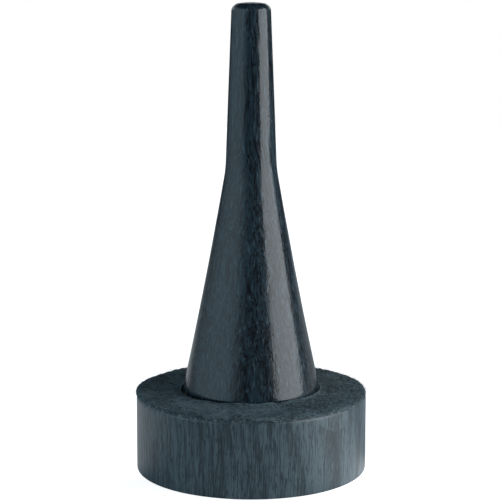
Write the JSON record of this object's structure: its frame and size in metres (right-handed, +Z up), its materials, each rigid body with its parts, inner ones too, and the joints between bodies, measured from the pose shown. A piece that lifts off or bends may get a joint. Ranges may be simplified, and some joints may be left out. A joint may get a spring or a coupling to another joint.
{
  "type": "wooden instrument stand peg",
  "caption": "Turned wooden cone on a thick round base with a felt ring, holding an upright woodwind by its bore and bell; threaded for a stud underneath.",
  "frame": {"origin": "centre of the underside of the base disc, on the surface it stands on", "axes": "+Z up along the turning axis, from the base to the tip; +X and +Y are free, because the shape is round"},
  "size_m": [0.08, 0.08, 0.1602],
  "materials": {
    "cone_wood": "beech stained blue black, satin lacquer",
    "base_wood": "beech stained blue black, satin lacquer",
    "felt": "pressed wool felt, matte",
    "adhesive": "dried glue film",
    "insert_brass": "machined"
  },
  "bodies": {
    "root": {"peg_cone": "cone_wood", "base_disc": "base_wood", "felt_ring": "felt", "felt_adhesive": "adhesive", "threaded_insert": "insert_brass"}
  },
  "joints": []
}
